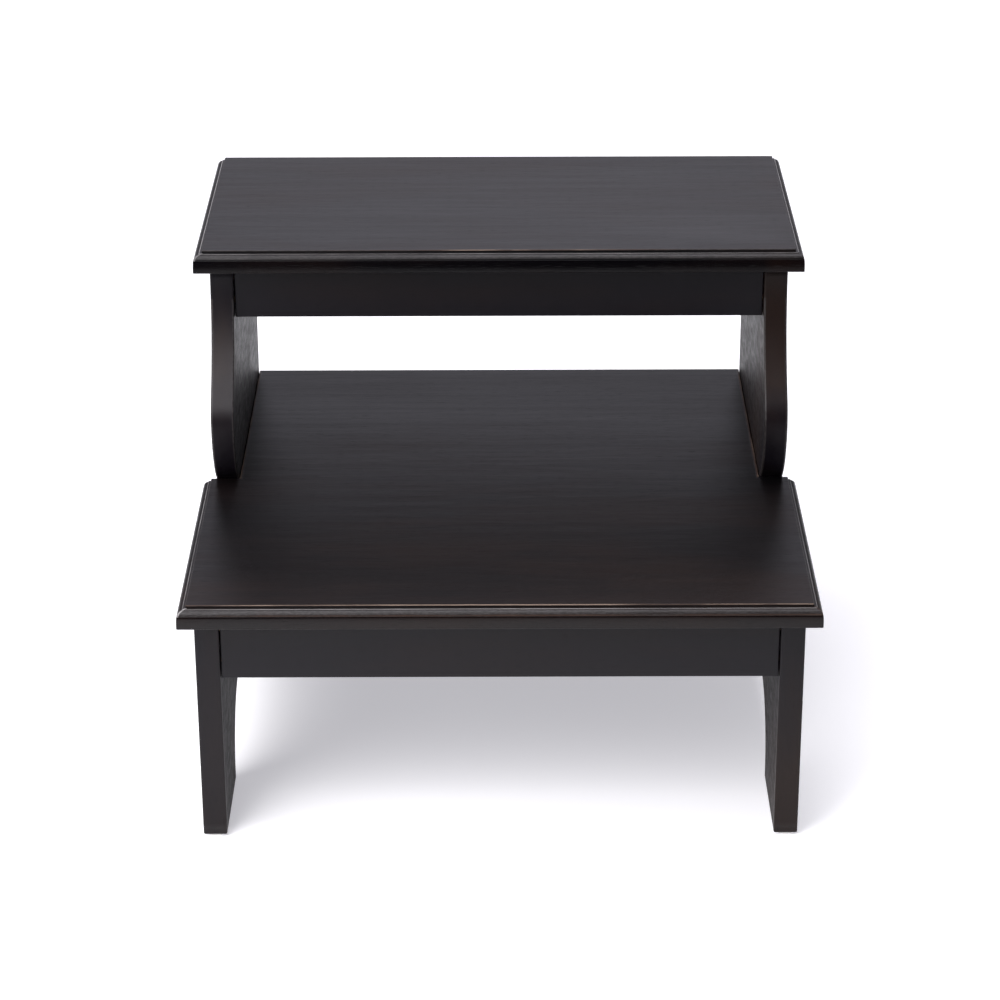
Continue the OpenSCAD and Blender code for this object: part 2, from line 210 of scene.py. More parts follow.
def make_dark_card():
    """The dark front of the room, which only reflections see: the front faces mirror it.

    It lies just over the floor in front of the stool, fading out towards it, and turns up at its far end."""
    near, far, half, top = CARD_NEAR, CARD_FAR, STAGE_HALF, CARD_TOP
    mesh = bpy.data.meshes.new("dark_card")
    height = 1 * MM
    corners = [(-half, far, height), (half, far, height), (half, near, height), (-half, near, height)]
    corners += [(-half, far, top), (half, far, top)]
    mesh.from_pydata(corners, [], [(0, 1, 2, 3), (0, 4, 5, 1)])
    card = bpy.data.objects.new("dark_card", mesh)
    bpy.context.scene.collection.objects.link(card)
    n = Nodes("dark_card")
    place = n.add("ShaderNodeSeparateXYZ")
    n.tree.links.new(n.coords((1, 1, 1)), place.inputs["Vector"])
    clear = n.add("ShaderNodeBsdfTransparent")
    blend = n.add("ShaderNodeMixShader")
    steps = []
    for start, end, share in (CARD_DUSK, CARD_DARK):
        steps.append(n.remap(place.outputs["Y"], start, end, 0.0, share, True))
    n.put(blend.inputs["Fac"], n.math("ADD", *steps))
    n.tree.links.new(clear.outputs["BSDF"], blend.inputs[1])
    n.set("Base Color", (0.004, 0.004, 0.004, 1))
    n.set("Roughness", 1.0)
    n.set("Specular IOR Level", 0.0)
    n.tree.links.new(n.shader.outputs["BSDF"], blend.inputs[2])
    n.tree.links.new(blend.outputs["Shader"], n.tree.nodes["Material Output"].inputs["Surface"])
    mesh.materials.append(n.mat)
    card.visible_camera = False
    card.visible_diffuse = False
    card.visible_shadow = False
    card.visible_transmission = False


# ---------------------------------------------------------------- materials


class Nodes:
    """A short way to write a material's nodes."""

    def __init__(self, name):
        self.mat = bpy.data.materials.new(name)
        self.mat.use_nodes = True
        self.tree = self.mat.node_tree
        self.shader = self.tree.nodes["Principled BSDF"]

    def add(self, kind, **settings):
        node = self.tree.nodes.new(kind)
        for key, value in settings.items():
            setattr(node, key, value)
        return node

    def put(self, socket, value):
        """Links another node's output to the socket, or else sets its value."""
        if isinstance(value, bpy.types.NodeSocket):
            self.tree.links.new(value, socket)
        else:
            socket.default_value = value

    def set(self, name, value):
        """The shader's input of this name."""
        self.put(self.shader.inputs[name], value)

    def coords(self, stretch):
        """Object coordinates in metres, times stretch."""
        source = self.add("ShaderNodeTexCoord")
        mapping = self.add("ShaderNodeMapping")
        mapping.inputs["Scale"].default_value = stretch
        self.tree.links.new(source.outputs["Object"], mapping.inputs["Vector"])
        return mapping.outputs["Vector"]

    def noise(self, vector, scale=1.0, detail=3.0, roughness=0.5, distortion=0.0):
        node = self.add("ShaderNodeTexNoise")
        self.tree.links.new(vector, node.inputs["Vector"])
        node.inputs["Scale"].default_value = scale
        node.inputs["Detail"].default_value = detail
        node.inputs["Roughness"].default_value = roughness
        node.inputs["Distortion"].default_value = distortion
        return node.outputs["Fac"]

    def remap(self, value, lo, hi, to_lo=0.0, to_hi=1.0, smooth=False):
        node = self.add("ShaderNodeMapRange", clamp=True)
        node.interpolation_type = "SMOOTHSTEP" if smooth else "LINEAR"
        self.put(node.inputs["Value"], value)
        node.inputs["From Min"].default_value = lo
        node.inputs["From Max"].default_value = hi
        node.inputs["To Min"].default_value = to_lo
        node.inputs["To Max"].default_value = to_hi
        return node.outputs["Result"]

    def math(self, kind, a, b=0.0):
        node = self.add("ShaderNodeMath", operation=kind)
        self.put(node.inputs[0], a)
        self.put(node.inputs[1], b)
        return node.outputs["Value"]

    def mix(self, share, a, b):
        node = self.add("ShaderNodeMix", data_type="RGBA")
        self.put(node.inputs["Factor"], share)
        self.put(node.inputs["A"], a)
        self.put(node.inputs["B"], b)
        return node.outputs["Result"]

    def attribute(self, name):
        return self.add("ShaderNodeAttribute", attribute_name=name).outputs["Fac"]

    def bump(self, height, strength, distance, normal=None, filter_width=0.1):
        node = self.add("ShaderNodeBump")
        node.inputs["Filter Width"].default_value = filter_width
        node.inputs["Strength"].default_value = strength
        node.inputs["Distance"].default_value = distance
        self.put(node.inputs["Height"], height)
        if normal is not None:
            self.put(node.inputs["Normal"], normal)
        return node.outputs["Normal"]


PORE_BLACK = (0.0006, 0.0006, 0.0006, 1)
# What rubbing brings out, step by step: dull lacquer, thin stain, bare wood; and a pale grey painted
# highlight, laid on arrises and mitres where they would glint in the lights
HAZE = (0.027, 0.0245, 0.0240, 1)
THIN_STAIN = (0.030, 0.016, 0.011, 1)
BARE_EDGE = (0.17, 0.125, 0.095, 1)
PAINTED_GLINT_GREY = (0.25, 0.24, 0.235, 1)
# A tread shows more brown towards its front, over this stretch of y, and a side board's foot is duller
BROWN_FRONT_Y = (-0.02, -0.20)
DULL_FOOT_Z = (0.14, 0.20)


def along(axis, with_grain, across):
    """Coordinate scales that stretch a pattern along an axis."""
    return tuple(with_grain if i == "XYZ".index(axis) else across for i in range(3))


def stain_colour(n, stain, brown_share, blotch, bands, pore_cut, warm):
    """Near-black stain with brown showing through in soft bands, and blacker pores."""
    black, brown = stain
    tint = n.math("MULTIPLY", n.remap(blotch, 0.45, 0.72), n.remap(bands, 0.3, 0.7, 0.5, 1.0))
    tint = n.math("MULTIPLY", tint, brown_share)
    tint = n.math("ADD", tint, n.math("MULTIPLY", warm, n.remap(blotch, 0.3, 0.6, 0.3, 1.3)))
    return n.mix(n.math("MULTIPLY", pore_cut, 0.4), n.mix(tint, black, brown), PORE_BLACK)


def worn_and_glint_colour(n, grain, colour):
    """The colour with its rubbed places and its pale painted highlights, and how bare the wood is."""
    patchy = n.noise(n.coords((14.0, 14.0, 14.0)), 1.0, 5, 0.6)
    # Above zero the attribute is rubbing; below zero it lays on a pale painted highlight instead
    rubbed = n.math("MULTIPLY", n.attribute("wear_and_glint"), n.remap(patchy, 0.30, 0.65, 0.55, 1.15))
    speckle = n.noise(n.coords(along(grain, 300.0, 900.0)), 1.0, 1, 0.6)
    haze = n.remap(rubbed, 0.05, 0.30, 0.0, 1.0, True)
    haze = n.math("MULTIPLY", haze, n.remap(speckle, 0.35, 0.65, 0.35, 1.0))
    thin = n.remap(rubbed, 0.30, 0.60, 0.0, 1.0, True)
    bare = n.remap(rubbed, 0.60, 1.0, 0.0, 1.0, True)
    # A painted highlight: pale grey where an arris or mitre would glint
    pale = n.remap(rubbed, 0.0, -1.0, 0.0, 1.0, True)
    colour = n.mix(haze, colour, HAZE)
    colour = n.mix(thin, colour, THIN_STAIN)
    colour = n.mix(bare, colour, BARE_EDGE)
    return n.mix(pale, colour, PAINTED_GLINT_GREY), bare


def face_dullness(n, face_rough, height):
    """How much rougher the marked faces are: unevenly so, and about twice as much on the feet."""
    uneven = n.noise(n.coords((60.0, 60.0, 170.0)), 1.0, 3, 0.7)
    dull = n.remap(uneven, 0.36, 0.64, 0.1 * face_rough, 1.5 * face_rough)
    return n.math("ADD", dull, n.remap(height, *DULL_FOOT_Z, 0.9 * face_rough, 0.0, True))


def stained_wood(
    name, grain, stain, brown_share, roughness, grain_depth, wisps=0.0, face_rough=0.0, ridges=0.0
):
    """Near-black stain under satin lacquer: grain runs along an axis, and the arrises are rubbed through it.

    The wear_and_glint attribute says how far the stain is rubbed, or below zero how strongly a pale painted
    highlight is laid on where an arris would glint. warm says where it shows more brown, and face marks the
    faces whose lacquer differs: rougher by face_rough, or glossier below zero. With ridges they also have
    open grain of that depth, and are duller on the feet.
    wisps is the share of soft waves in a tread's lacquer, which also shows more brown towards its front."""
    n = Nodes(name)
    blotch = n.noise(n.coords(along(grain, 4.0, 16.0)), 1.0, 4, 0.6)
    bands = n.noise(n.coords(along(grain, 3.0, 110.0)), 1.0, 2, 0.5, 0.15)
    fibres = n.noise(n.coords(along(grain, 28.0, 620.0)), 1.0, 2, 0.6)
    pores = n.noise(n.coords(along(grain, 110.0, 1500.0)), 1.0, 0, 0.5)
    pore_cut = n.remap(pores, 0.66, 0.76)
    face, warm = n.attribute("face"), n.attribute("warm")
    place = n.add("ShaderNodeSeparateXYZ")
    n.tree.links.new(n.coords((1, 1, 1)), place.inputs["Vector"])

    if wisps:
        warm = n.math("ADD", warm, n.remap(place.outputs["Y"], *BROWN_FRONT_Y, 0.0, 0.24, True))
    colour = stain_colour(n, stain, brown_share, blotch, bands, pore_cut, warm)
    colour, bare = worn_and_glint_colour(n, grain, colour)
    n.set("Base Color", colour)

    gloss = n.remap(bands, 0.3, 0.7, roughness - 0.02, roughness + 0.02)
    gloss = n.math("ADD", gloss, n.math("MULTIPLY", pore_cut, 0.08))
    gloss = n.math("ADD", gloss, n.remap(blotch, 0.3, 0.7, -0.03, 0.03))
    gloss = n.math("ADD", gloss, n.math("MULTIPLY", bare, 0.12))
    extra = face_dullness(n, face_rough, place.outputs["Z"]) if ridges else face_rough
    gloss = n.math("ADD", gloss, n.math("MULTIPLY", face, extra))
    n.set("Roughness", gloss)
    n.set("Specular IOR Level", 0.22)

    band_share = 0.25 if wisps else 0.8
    relief = n.math("ADD", n.math("MULTIPLY", bands, band_share), n.math("MULTIPLY", fibres, 0.35))
    relief = n.math("SUBTRACT", relief, n.math("MULTIPLY", pore_cut, 0.25))
    if wisps:
        wisp = n.noise(n.coords(along(grain, 18.0, 110.0)), 1.0, 2, 0.5, 0.3)
        wisp = n.math("MULTIPLY", wisp, n.remap(face, 0.0, 1.0, wisps, 0.5))
        relief = n.math("ADD", relief, wisp)
    normal = n.bump(relief, 0.6, grain_depth)
    if ridges:
        ridge = n.noise(n.coords(along(grain, 90.0, 420.0)), 1.0, 2, 0.6)
        normal = n.bump(n.math("MULTIPLY", ridge, face), 1.0, ridges, normal, 0.01)
    n.set("Normal", normal)
    return n.mat


def bare_wood():
    """Plain unstained hardwood, for the dowels."""
    n = Nodes("bare_wood")
    fibres = n.noise(n.coords((30.0, 700.0, 700.0)), 1.0, 3, 0.6)
    n.set("Base Color", n.mix(n.remap(fibres, 0.3, 0.7), (0.50, 0.33, 0.18, 1), (0.62, 0.45, 0.28, 1)))
    n.set("Roughness", 0.6)
    n.set("Normal", n.bump(fibres, 0.5, 0.00008))
    return n.mat


def zinc_steel():
    """Mottled zinc plating, for the screws and nails."""
    n = Nodes("screw_steel")
    mottle = n.noise(n.coords((400.0, 400.0, 400.0)), 1.0, 3, 0.6)
    n.set("Base Color", n.mix(n.remap(mottle, 0.3, 0.7), (0.50, 0.50, 0.48, 1), (0.66, 0.66, 0.63, 1)))
    n.set("Metallic", 1.0)
    n.set("Roughness", n.remap(mottle, 0.3, 0.7, 0.26, 0.40))
    n.set("Normal", n.bump(mottle, 0.3, 0.00003))
    return n.mat


def glide_nylon():
    """Off-white plastic, scuffed grey."""
    n = Nodes("glide_nylon")
    speckle = n.noise(n.coords((900.0, 900.0, 900.0)), 1.0, 2, 0.5)
    scuffs = n.noise(n.coords((120.0, 500.0, 120.0)), 1.0, 4, 0.7)
    n.set("Base Color", n.mix(n.remap(scuffs, 0.5, 0.75), (0.74, 0.73, 0.71, 1), (0.52, 0.50, 0.47, 1)))
    n.set("Roughness", n.remap(scuffs, 0.4, 0.7, 0.42, 0.62))
    n.set("Normal", n.bump(speckle, 0.3, 0.00005))
    return n.mat


# ---------------------------------------------------------------- mesh building


def rounded(points, radii, wears, steps=4, falloff=0.4 * MM):
    """A profile with its corners rounded, as [across, along, wear]. Each corner has its own radius and wear,
    which ends within falloff on both sides of it."""
    longest = 0.45  # of a side, for the rounding of one corner
    out = []
    for i, (point, radius, wear_and_glint) in enumerate(zip(points, radii, wears)):
        p = np.array(point, float)
        if radius == 0 or i in (0, len(points) - 1):
            out.append([p[0], p[1], wear_and_glint])
            continue
        before, after = np.array(points[i - 1]) - p, np.array(points[i + 1]) - p
        len_a, len_b = np.linalg.norm(before), np.linalg.norm(after)
        before, after = before / len_a, after / len_b
        half = math.acos(max(-1, min(1, float(before @ after)))) / 2
        reach = min(radius / math.tan(half), longest * len_a, longest * len_b)
        if wear_and_glint and reach + falloff < 0.5 * len_a:
            out.append([*(p + before * (reach + falloff)), 0.0])
        for k in range(steps + 1):
            t = k / steps
            q = p + before * reach * (1 - t) ** 2 + after * reach * t**2
            out.append([*q, wear_and_glint])
        if wear_and_glint and reach + falloff < 0.5 * len_b:
            out.append([*(p + after * (reach + falloff)), 0.0])
    return out


def offset_corner(n_before, n_after, d_before, d_after):
    """How far a corner moves when its two edges move in by d_before and d_after."""
    return np.linalg.pinv(np.array([n_before, n_after]), rcond=1e-3) @ np.array([d_before, d_after])


class Loft:
    """A closed board made of rings: the same outline, pulled in edge by edge, at one height after another."""

    ROUND_STEPS = 5
    NEAR_CORNER = 0.9 * MM

    def __init__(self, corners, corner_radii=None, step=8 * MM):
        self.corners = np.array(corners, float)
        self.count = len(corners)
        self.radii = corner_radii or [0] * self.count
        edges = np.roll(self.corners, -1, 0) - self.corners
        self.lengths = np.linalg.norm(edges, axis=1)
        self.dirs = edges / self.lengths[:, None]
        self.normals = np.stack([-self.dirs[:, 1], self.dirs[:, 0]], 1)
        near = self.NEAR_CORNER
        self.shares = []
        for length in self.lengths:
            count = max(1, round(length / step))
            shares = [k / count for k in range(count)]
            if length > 4 * near and corner_radii:
                shares = sorted({*shares, near / length, 1 - near / length})
            self.shares.append(shares)

    def ring(self, insets):
        """Points of one ring, and for each the edge that the strip to the next point belongs to."""
        moved = []
        for i in range(self.count):
            delta = offset_corner(self.normals[i - 1], self.normals[i], insets[i - 1], insets[i])
            moved.append(self.corners[i] + delta)
        points, edge_of = [], []
        for i in range(self.count):
            start, end = moved[i], moved[(i + 1) % self.count]
            r, r_next = self.radii[i], self.radii[(i + 1) % self.count]
            if r > 0:
                centre = start + r * (self.normals[i - 1] + self.normals[i])
                for k in range(self.ROUND_STEPS):
                    a = math.pi / 2 * k / self.ROUND_STEPS
                    way = self.normals[i - 1] * math.cos(a) + self.normals[i] * math.sin(a)
                    points.append(centre - r * way)
                    edge_of.append(i)
                start = start + self.dirs[i] * r
            end = end - self.dirs[i] * r_next
            for share in self.shares[i]:
                points.append(start + (end - start) * share)
                edge_of.append(i)
        return points, edge_of

    def build(self, name, rings, place, wobble=0.0, seed=0.0, wear_and_glint_at=None, marked=(0, 0), end_marks=(0, 0)):
        """rings: (insets per edge, height, wear_and_glint per edge), each value a rubbing, and below zero a
        painted highlight. place turns (u, v, height) into a point, and wear_and_glint_at changes the value at
        a point (u, v). marked gives the heights between which the sides are marked, and end_marks marks the
        two ends."""
        verts, faces, wears, marks, all_rings = [], [], [], [], []
        for insets, height, wear_and_glint in rings:
            points, edge_of = self.ring(insets)
            ring_wear = [wear_and_glint[e] for e in edge_of]
            if wear_and_glint_at:
                ring_wear = [wear_and_glint_at(u, v, w) for (u, v), w in zip(points, ring_wear)]
            all_rings.append((ring_wear, len(verts)))
            verts += [place(u, v, height) for u, v in points]
        count = len(edge_of)
        for i, ((wear_a, a), (wear_b, b)) in enumerate(zip(all_rings, all_rings[1:])):
            middle = (rings[i][1] + rings[i + 1][1]) / 2
            mark = 1.0 if marked[0] < middle < marked[1] else 0.0
            for j in range(count):
                k = (j + 1) % count
                marks.append(mark)
                faces.append((a + j, a + k, b + k, b + j))
                wears.append((wear_a[j], wear_a[j], wear_b[j], wear_b[j]))
        faces.insert(0, tuple(range(count - 1, -1, -1)))
        wears.insert(0, (0.0,) * count)
        last = all_rings[-1][1]
        faces.append(tuple(range(last, last + count)))
        wears.append((0.0,) * count)
        marks = [end_marks[0], *marks, end_marks[1]]
        return make_mesh(name, verts, faces, wears, marks, wobble, seed)


# How much brown shows on the feet, and over which height it fades out
FOOT_WARM, FOOT_FADE = 0.7, 110 * MM
# How much brown shows on each front curve, its height above the floor, and how widely it spreads
LEFT_RUB = (0.45, 0.295, 0.045)
RIGHT_RUB = (1.1, 0.325, 0.055)


def warmth(x, y, z):
    """How much more brown shows through at a place: on the feet and the front curves, most on the right."""
    if abs(x) < BOARD_IN_X - 1 * MM:
        return 0.0
    feet = max(0.0, min(1.0, (SHOULDER_Z - 30 * MM - z) / FOOT_FADE))
    share, height, spread = LEFT_RUB if x < 0 else RIGHT_RUB
    return FOOT_WARM * feet + share * math.exp(-(((z - height) / spread) ** 2))


def corner_values(mesh, name, values):
    """Stores one value per corner of each face as an attribute."""
    attribute = mesh.attributes.new(name, "FLOAT", "CORNER")
    attribute.data.foreach_set("value", np.array(values, np.float32))


def make_mesh(name, verts, faces, wears, marks, wobble=0.0, seed=0.0):
    """A smooth-shaded mesh whose flat faces stay flat, with a wear_and_glint value on each corner of each
    face (rubbing, or below zero a painted highlight), and a mark on each face that goes to the material's
    face attribute. Where either is laid on, its surface wobbles."""
    waves_per_metre = 60
    if wobble:
        rub_and_glint = np.zeros(len(verts))
        for face, wear_and_glint in zip(faces, wears):
            for v, w in zip(face, wear_and_glint):
                rub_and_glint[v] = max(rub_and_glint[v], abs(w))
        for i, v in enumerate(verts):
            if rub_and_glint[i] > 0:
                shake = noise.noise_vector(Vector(v) * waves_per_metre + Vector((seed, 0, 0)))
                verts[i] = tuple(Vector(v) + shake * wobble * rub_and_glint[i])
    mesh = bpy.data.meshes.new(name)
    mesh.from_pydata([tuple(v) for v in verts], [], faces)
    mesh.update()
    corner_values(mesh, "wear_and_glint", [w for face in wears for w in face])
    corner_values(mesh, "face", [m for face, m in zip(faces, marks) for _ in face])
    warm = mesh.attributes.new("warm", "FLOAT", "POINT")
    warm.data.foreach_set("value", np.array([warmth(*v) for v in verts], np.float32))
    mesh.polygons.foreach_set("use_smooth", [True] * len(mesh.polygons))
    piece = bpy.data.objects.new(name, mesh)
    bpy.context.scene.collection.objects.link(piece)
    weighted = piece.modifiers.new("flat_faces", "WEIGHTED_NORMAL")
    weighted.mode = "FACE_AREA"
    weighted.keep_sharp = True
    return piece


def outward(piece):
    """Turns the mesh inside out if its faces point inward."""
    volume = 0.0
    mesh = piece.data
    mesh.calc_loop_triangles()
    for t in mesh.loop_triangles:
        a, b, c = (mesh.vertices[i].co for i in t.vertices)
        volume += a.dot(b.cross(c))
    if volume < 0:
        mesh.flip_normals()
    return piece


# ---------------------------------------------------------------- treads


# The quarter round stops this angle short at both ends, in radians, and its lower end begins at this share
# of its width
QUARTER_STOP = 0.12
QUARTER_END = 0.93


def mould_profile(rub_and_glint):
    """Edge moulding from the flat top to the flat underside, as [inset, drop, wear].

    rub_and_glint gives the rubbing of the top arris, the painted highlight on the ledge's arris (below zero,
    where it would glint), and the rubbing of the quarter round, its lower end and the underside's arris."""
    top_worn, ledge_glint, quarter_worn, quarter_end_worn, under_worn = rub_and_glint
    quarter_top = MOULD_STEP + MOULD_LIP
    centre = (MOULD_LIP + MOULD_R, quarter_top + MOULD_R)
    points = [
        (MOULD_INSET + TOP_RIM, 0),
        (MOULD_INSET, 0),
        (MOULD_INSET, MOULD_STEP),
        (centre[0], MOULD_STEP),
        (centre[0], quarter_top),
    ]
    radii = [0, 0.45 * MM, 0.25 * MM, 0.35 * MM, 0.15 * MM]
    # The ledge's value, below zero on both treads, is a pale painted highlight where its arris would glint
    wears = [0, top_worn, 0, ledge_glint, 0]
    for a in np.linspace(QUARTER_STOP, math.pi / 2 - QUARTER_STOP, 9):
        points.append((centre[0] - MOULD_R * math.sin(a), centre[1] - MOULD_R * math.cos(a)))
        radii.append(0)
        wears.append(quarter_worn if math.sin(a) < QUARTER_END else quarter_end_worn)
    points.append((MOULD_LIP, centre[1]))
    points += [(inset * MM, centre[1] + drop * MM) for inset, drop in FACE_ROUNDING]
    points += [(0, TREAD_T), (UNDER_RIM, TREAD_T)]
    radii += [0.15 * MM] + [0] * len(FACE_ROUNDING) + [UNDER_R, 0]
    wears += [0] + [0] * len(FACE_ROUNDING) + [under_worn, 0]
    return rounded(points, radii, wears)


def plain_profile(drops, ease):
    """A plain eased edge sampled at the same drops: (inset, wear) for each."""
    out = []
    for drop in drops:
        near = min(drop, TREAD_T - drop)
        inset = 0.0 if near >= ease else ease - math.sqrt(max(0.0, ease**2 - (ease - near) ** 2))
        out.append((inset, 1.0 if near < ease * 0.9 else 0.0))
    return out


def profile_with(profile, drops):
    """The profile with added points at the given drops, on its upright stretches."""
    out = [profile[0]]
    for a, b in zip(profile, profile[1:]):
        between = sorted(d for d in drops if a[1] + 1e-6 < d < b[1] - 1e-6)
        for d in between:
            t = (d - a[1]) / (b[1] - a[1])
            out.append([a[0] + (b[0] - a[0]) * t, d, a[2] + (b[2] - a[2]) * t])
        out.append(b)
    return out


# Each node's material slot, from the record
SLOT_OF = {s["node"]: s["material_slot"] for s in frame["record"]["subparts"]}


def finish_piece(piece, node, material):
    """Gives the piece its material, sets it to ride on the root body, and hides the CAD part that it stands
    in for.
    """
    piece.data.materials.append(material)
    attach(piece, "root")
    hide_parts(node)
    return piece


def tread(name, corners, moulded, edge_wear, edge_glint, radii, top_z, material, seed, rub_and_glint, wear_and_glint_at):
    """A moulded board. corners run anticlockwise seen from above. Of the edges from each corner to the next,
    moulded says which carry the moulding, edge_wear how much of the rubbing each gets, and edge_glint how
    much of the pale painted highlight where its ledge would glint. rub_and_glint is for mould_profile, and
    wear_and_glint_at for Loft.build."""
    ease = 0.9 * MM
    profile = profile_with(mould_profile(rub_and_glint), [ease / 2, ease])
    plain = plain_profile([drop for _, drop, _ in profile], ease)
    plain[0] = (ease + TOP_RIM, 0.0)
    plain[-1] = (UNDER_RIM, 0.0)
    rings = []
    for (inset, drop, wear_and_glint), (plain_inset, plain_wear) in zip(profile, plain):
        insets = [inset if m else plain_inset for m in moulded]
        # Below zero the profile's value is a painted highlight, shared out by the pale shares
        shares = edge_glint if wear_and_glint < 0 else edge_wear
        wears = [share * (wear_and_glint if m else plain_wear) for m, share in zip(moulded, shares)]
        rings.append((insets, top_z - drop, wears))
    upright = (top_z - TREAD_T + UNDER_R, top_z - MOULD_STEP - MOULD_LIP - MOULD_R)
    piece = Loft(corners, radii).build(
        name + "_board",
        rings,
        place=lambda u, v, h: (u, v, h),
        wobble=0.12 * MM,
        seed=seed,
        wear_and_glint_at=wear_and_glint_at,
        marked=upright,
    )
    return finish_piece(outward(piece), name, material)


# The line along a mitre, a painted highlight on the left and rubbed brown on the right: its half width, and
# how far in from the faces it starts
MITRE_HALF = 0.7 * MM
MITRE_START = 0.55 * MM


def corner_wear_and_glint(x, front, wear_and_glint, share):
    """The value with the mitres of the two front corners marked: on the left a pale painted highlight, where
    the mitre's ridge would glint in the key light, and on the right rubbed brown. It takes x and the distance
    behind the front face, and the share of the marking this tread gets."""
    side = HALF_W - abs(x)
    if abs(side - front) > MITRE_HALF or not MITRE_START < min(side, front) < MOULD_INSET:
        return wear_and_glint
    brown = 0.55 * share
    # Below zero on the left: a painted highlight of the glinting mitre
    return -share if x < 0 else max(wear_and_glint, brown)


def upper_tread_wear_and_glint(x, y, wear_and_glint):
    """The front arris is rubbed most in the middle, where feet cross it, and the left mitre gets a painted
    highlight.
    """
    if wear_and_glint > 0.5:
        wear_and_glint *= 0.5 + 0.5 * math.exp(-((x / 0.10) ** 2))
    return corner_wear_and_glint(x, y - UPPER_LO.y, wear_and_glint, 0.5)


def lower_tread_wear_and_painted_light(x, y, wear_and_glint):
    """As on the upper tread, with the quarter round's grey rubbing laid on more thickly towards the left, a
    painted highlight of the key light that falls from that side, and its lower end rubbed more towards the
    right."""
    if wear_and_glint > 0.7:
        wear_and_glint *= 0.85 + 0.3 * math.exp(-((x / 0.08) ** 2))
    elif wear_and_glint > 0:
        # Above 0.4 the brown lower end grows to the right; below it the haze grows to the left, painted light
        # of the front-left key
        to_right = 0.12 if wear_and_glint > 0.4 else -0.25
        wear_and_glint *= 1.0 + to_right * x / HALF_W
    return corner_wear_and_glint(x, y - LOWER_LO.y, wear_and_glint, 1.0)


def make_treads(material):
    """Both treads. Their edges start with the front one, then the one on the right."""
    small, back_round = 0.5 * MM, 1.0 * MM
    tread(
        "upper_tread",
        [(-HALF_W, UPPER_LO.y), (HALF_W, UPPER_LO.y), (HALF_W, UPPER_HI.y), (-HALF_W, UPPER_HI.y)],
        moulded=[True, True, False, True],
        edge_wear=[1.0, 0.25, 0.1, 0.2],
        # The pale shares below and the ledge's -1.0 lay a painted highlight on the ledge arrises, where they
        # would glint
        edge_glint=[0.5, 0.9, 0.0, 1.0],
        radii=[small, small, back_round, back_round],
        top_z=UPPER_HI.z,
        material=material,
        seed=3.0,
        rub_and_glint=(0.85, -1.0, 0.24, 0.05, 0.0),
        wear_and_glint_at=upper_tread_wear_and_glint,
    )
    tongue = BOARD_IN_X - TREAD_GAP
    tread(
        "lower_tread",
        [
            (-HALF_W, LOWER_LO.y),
            (HALF_W, LOWER_LO.y),
            (HALF_W, STEP_Y),
            (tongue, STEP_Y),
            (tongue, LOWER_HI.y),
            (-tongue, LOWER_HI.y),
            (-tongue, STEP_Y),
            (-HALF_W, STEP_Y),
        ],
        moulded=[True, True, False, False, False, False, False, True],
        edge_wear=[1.0, 0.35, 0.1, 1.0, 0.1, 1.0, 0.1, 0.2],
        # The pale shares below and the ledge's -1.0 lay a painted highlight on the ledge arrises, where they
        # would glint
        edge_glint=[0.65, 0.6, 0.0, 0.0, 0.0, 0.0, 0.0, 0.7],
        radii=[small, small, back_round, 0, small, small, 0, back_round],
        top_z=LOWER_Z,
        material=material,
        seed=17.0,
        rub_and_glint=(1.0, -1.0, 0.30, 0.57, 0.12),
        wear_and_glint_at=lower_tread_wear_and_painted_light,
    )


# ---------------------------------------------------------------- side boards


def arc(centre, radius, start, end, steps):
    """Points along an arc, both ends included."""
    return [
        (centre[0] + radius * math.cos(a), centre[1] + radius * math.sin(a))
        for a in np.linspace(start, end, steps + 1)
    ]


def side_outline():
    """Outline of a side board as (y, z)."""
    bulge_z = LOWER_Z + BULGE_H
    bulge_y = STEP_Y + TREAD_GAP - BULGE_LOW_R + math.sqrt(BULGE_LOW_R**2 - BULGE_H**2)
    low_end = math.asin(BULGE_H / BULGE_LOW_R)
    sin_a, cos_a = math.sin(CURVE_ANGLE), math.cos(CURVE_ANGLE)
    upright_y = bulge_y + (BULGE_TOP_R + HOLLOW_R) * (1 - cos_a) + CURVE_RUN * sin_a
    upright_z = bulge_z + (BULGE_TOP_R + HOLLOW_R) * sin_a + CURVE_RUN * cos_a
    curve = arc((bulge_y + BULGE_LOW_R, bulge_z), BULGE_LOW_R, math.pi + low_end, math.pi, 20)
    curve += arc((bulge_y + BULGE_TOP_R, bulge_z), BULGE_TOP_R, math.pi, math.pi - CURVE_ANGLE, 10)[1:]
    curve += arc((upright_y - HOLLOW_R, upright_z), HOLLOW_R, -CURVE_ANGLE, 0, 24)
    arch_z = FOOT_Z + ARCH_H - ARCH_R
    back_in, front_in = BOARD_BACK - FOOT_L, FOOT_Y + FOOT_L
    arch = arc((back_in - ARCH_R, arch_z), ARCH_R, 0, math.pi / 2, 24)
    arch += arc((front_in + ARCH_R, arch_z), ARCH_R, math.pi / 2, math.pi, 24)
    return (
        [(FOOT_Y, FOOT_Z), (FOOT_Y, SHOULDER_Z), (STEP_Y + TREAD_GAP, SHOULDER_Z)]
        + curve
        + [(upright_y, BOARD_TOP), (BOARD_BACK, BOARD_TOP), (BOARD_BACK, FOOT_Z), (back_in, FOOT_Z)]
        + arch
        + [(front_in, FOOT_Z)]
    )


def eased_rings(thick, ease, wears, start=0.0):
    """Rings through a board of this thickness, with both arrises eased. wears gives the arris wear of each
    edge."""
    reach = ease + 2 * MM
    corners = [(reach, 0), (0, 0), (0, thick), (reach, thick)]
    profile = rounded(corners, [0, ease, ease, 0], [0, 1, 1, 0], falloff=0.5 * MM)
    rings = []
    for inset, depth, wear_and_glint in profile:
        rings.append(([inset] * len(wears), start + depth, [wear_and_glint * w for w in wears]))
    return rings


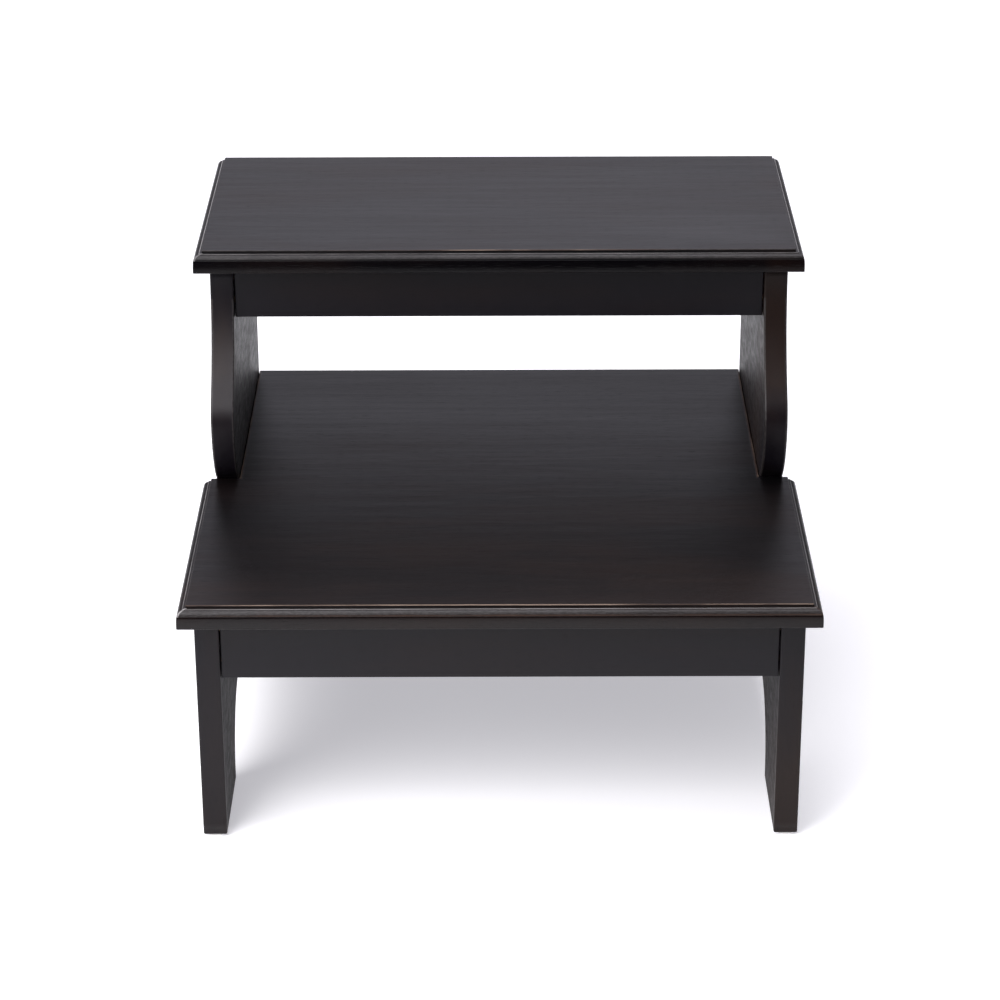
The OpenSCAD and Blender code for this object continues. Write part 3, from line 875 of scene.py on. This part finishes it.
# The arris wear on the front curve of a side board, and elsewhere. The curve lies in front of this y
CURVE_WORN, ELSEWHERE_WORN = 0.35, 0.05
CURVE_BACK_Y = 0.06


def curve_wear(outline):
    """Arris wear of each edge of a side board's outline: the front curve is rubbed most."""
    out = []
    for a, b in zip(outline, outline[1:] + outline[:1]):
        y, z = (a[0] + b[0]) / 2, (a[1] + b[1]) / 2
        on_curve = y < CURVE_BACK_Y and LOWER_Z < z < BOARD_TOP - 30 * MM
        out.append(CURVE_WORN if on_curve else ELSEWHERE_WORN)
    return out


# How rough and open-grained the lacquer is on the two broad faces of a side board
INNER_FACE, OUTER_FACE = 1.0, 0.35


def make_side_boards(material):
    """Both side boards, built up across their thickness."""
    outline = side_outline()[::-1]
    for node, x in (("left_side_board", LEFT_LO.x), ("right_side_board", RIGHT_LO.x)):
        rings = eased_rings(BOARD_T, 1.4 * MM, curve_wear(outline), x)
        ends = (OUTER_FACE, INNER_FACE) if x < 0 else (INNER_FACE, OUTER_FACE)
        piece = Loft(outline, step=10 * MM).build(
            node + "_panel",
            rings,
            place=lambda u, v, h: (h, u, v),
            wobble=0.10 * MM,
            seed=x * 100,
            end_marks=ends,
        )
        finish_piece(outward(piece), node, material)


# ---------------------------------------------------------------- rails


def make_rails(material):
    """The four rails, each a little shorter than its CAD box, so that a thin dark joint shows at its ends."""
    gap = 0.35 * MM
    for node in ("upper_front_rail", "upper_back_rail", "lower_front_rail", "lower_back_rail"):
        lo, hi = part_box(node)
        corners = [(lo.x + gap, lo.z), (hi.x - gap, lo.z), (hi.x - gap, hi.z), (lo.x + gap, hi.z)]
        rings = eased_rings(hi.y - lo.y, 1.1 * MM, [0.0] * 4, lo.y)
        piece = Loft(corners, step=12 * MM).build(
            node + "_board",
            rings,
            place=lambda u, v, h: (u, h, v),
            wobble=0.10 * MM,
            seed=lo.y * 50,
        )
        finish_piece(outward(piece), node, material)


# ---------------------------------------------------------------- CAD pieces that stay, with their finish


def dress_cad(materials):
    """Blocks, cleats, dowels, screws, glides and nails keep their CAD shape and take a procedural
    material."""
    for node, piece in frame["nodes"].items():
        material = materials.get(SLOT_OF[node])
        if material is None or piece.hide_render:
            continue
        piece.data.materials.clear()
        piece.data.materials.append(material)


make_camera()
make_studio()
make_floor()
make_dark_card()

# Stains, as the dark colour and the brown that shows through
BROWN = (0.010, 0.0045, 0.0030, 1)
FRAME_STAIN = ((0.0024, 0.0015, 0.0034, 1), BROWN)
TREAD_STAIN = ((0.0016, 0.0013, 0.0018, 1), BROWN)
THIN_INSIDE_STAIN = ((0.016, 0.012, 0.010, 1), (0.035, 0.022, 0.015, 1))

tread_wood = stained_wood(
    "stained_tread", "X", TREAD_STAIN, 0.45, 0.42, 0.00006, wisps=6.5, face_rough=-0.26
)
side_wood = stained_wood(
    "stained_side", "Z", FRAME_STAIN, 0.55, 0.42, 0.00010, face_rough=0.11, ridges=0.0004
)
make_treads(tread_wood)
make_side_boards(side_wood)
make_rails(stained_wood("stained_rail", "X", FRAME_STAIN, 0.5, 0.36, 0.00006))
dress_cad(
    {
        "stained_inside": stained_wood("stained_inside", "Y", THIN_INSIDE_STAIN, 0.6, 0.5, 0.0001),
        "bare_wood": bare_wood(),
        "screw_steel": zinc_steel(),
        "glide_nylon": glide_nylon(),
    }
)
